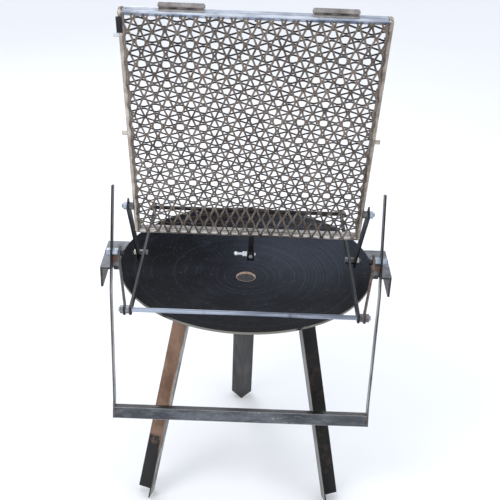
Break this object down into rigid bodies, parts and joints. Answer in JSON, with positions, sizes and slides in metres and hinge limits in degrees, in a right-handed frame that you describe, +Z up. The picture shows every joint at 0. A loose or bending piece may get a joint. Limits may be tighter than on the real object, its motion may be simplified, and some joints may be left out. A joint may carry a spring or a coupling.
{
  "type": "charcoal and coal fire pan with swing-over grill basket",
  "caption": "Dished steel fire pan on splayed angle-iron legs, with a swing frame, a rod cradle and lift arms that carry a hinged expanded-mesh basket over the fire.",
  "frame": {"origin": "on the ground, below the middle of the dished pan, at the middle of the object's box", "axes": "+X to the right seen from the front, +Y to the back, +Z up"},
  "size_m": [0.644, 0.5636, 1.1968],
  "materials": {
    "dish_steel": "worn blue-black with brushed rings",
    "black_angle": "worn black paint",
    "rusty_angle": "rusty brown above black paint",
    "bracket_paint": "dark paint with brown edges",
    "post_brown": "rust brown",
    "zinc": "galvanised, blue-grey",
    "dull_nut": "dull dark zinc",
    "bar_black": "worn black",
    "bar_brown": "black worn to rusty brown",
    "bar_grey": "dark grey mill steel",
    "tube_steel": "dark, scratched blue-grey",
    "bright_rod": "bright blue-grey",
    "rail_blue": "galvanised, blue-grey",
    "stile_beige": "beige-grey, lightly rusted",
    "mesh_front": "brown-grey expanded metal",
    "mesh_rear": "dark brown expanded metal",
    "hinge_steel": "beige-grey plated steel",
    "latch_black": "black paint",
    "latch_bright": "bright zinc"
  },
  "bodies": {
    "base": {"fire_pan": "dish_steel", "leg_rear": "black_angle", "leg_front_left": "rusty_angle", "leg_front_right": "black_angle", "bracket_left": "bracket_paint", "bracket_right": "bracket_paint", "pivot_post_left": "post_brown", "pivot_post_right": "post_brown", "main_long_nuts": "zinc", "main_bolts": "zinc", "main_bolt_nuts": "zinc"},
    "swing_frame": {"swing_bar_left": "bar_black", "swing_bar_right": "bar_black", "front_tube": "tube_steel"},
    "cradle": {"cradle_bar_left": "bar_grey", "cradle_bar_right": "bar_grey", "cradle_strut_left": "bar_black", "cradle_strut_right": "bar_brown", "cradle_front_rod": "bright_rod", "cradle_rear_rod": "bar_grey", "cradle_nuts": "zinc", "arm_foot_bolts": "zinc", "arm_foot_spacers": "dull_nut", "arm_foot_nuts": "zinc"},
    "lift_arms": {"lift_arm_left": "bar_grey", "lift_arm_right": "bar_grey"},
    "tray": {"tray_top_rail": "rail_blue", "tray_bottom_rail": "rail_blue", "tray_stile_left": "stile_beige", "tray_stile_right": "stile_beige", "tray_mesh": "mesh_front", "basket_long_nuts": "dull_nut", "basket_pivot_bolts": "zinc", "basket_pivot_nuts": "zinc", "side_studs": "stile_beige", "latch_post": "latch_black", "corner_stud": "latch_bright", "corner_strap": "latch_black", "latch_screw": "latch_bright", "latch_block": "latch_black", "tray_hinge_leaves": "hinge_steel", "hinge_pins": "hinge_steel"},
    "lid": {"lid_top_rail": "rail_blue", "lid_bottom_rail": "rail_blue", "lid_stile_left": "stile_beige", "lid_stile_right": "stile_beige", "lid_mesh": "mesh_rear", "lid_hinge_leaves": "hinge_steel"},
    "latch": {"latch_bolt": "latch_bright", "latch_nuts": "latch_bright"}
  },
  "joints": [
    {"name": "frame_swing", "type": "hinge", "parent": "base", "child": "swing_frame", "pos_m": [0, -0.025, 0.592], "axis": [-1, 0, 0], "range_deg": [0, 80]},
    {"name": "cradle_tilt", "type": "hinge", "parent": "base", "child": "cradle", "pos_m": [0, -0.025, 0.592], "axis": [1, 0, 0], "range_deg": [-4.5, 4.5]},
    {"name": "arm_swing", "type": "hinge", "parent": "cradle", "child": "lift_arms", "pos_m": [0, -0.025, 0.592], "axis": [-1, 0, 0], "range_deg": [-25, 80]},
    {"name": "basket_flip", "type": "hinge", "parent": "lift_arms", "child": "tray", "pos_m": [0, -0.15519, 0.76886], "axis": [1, 0, 0], "range_deg": [-115, 115]},
    {"name": "lid_open", "type": "hinge", "parent": "tray", "child": "lid", "pos_m": [0, -0.26923, 1.19177], "axis": [1, 0, 0], "range_deg": [0, 170]},
    {"name": "latch_slide", "type": "slide", "parent": "tray", "child": "latch", "axis": [-1, 0, 0], "range_m": [0, 0.012]}
  ]
}
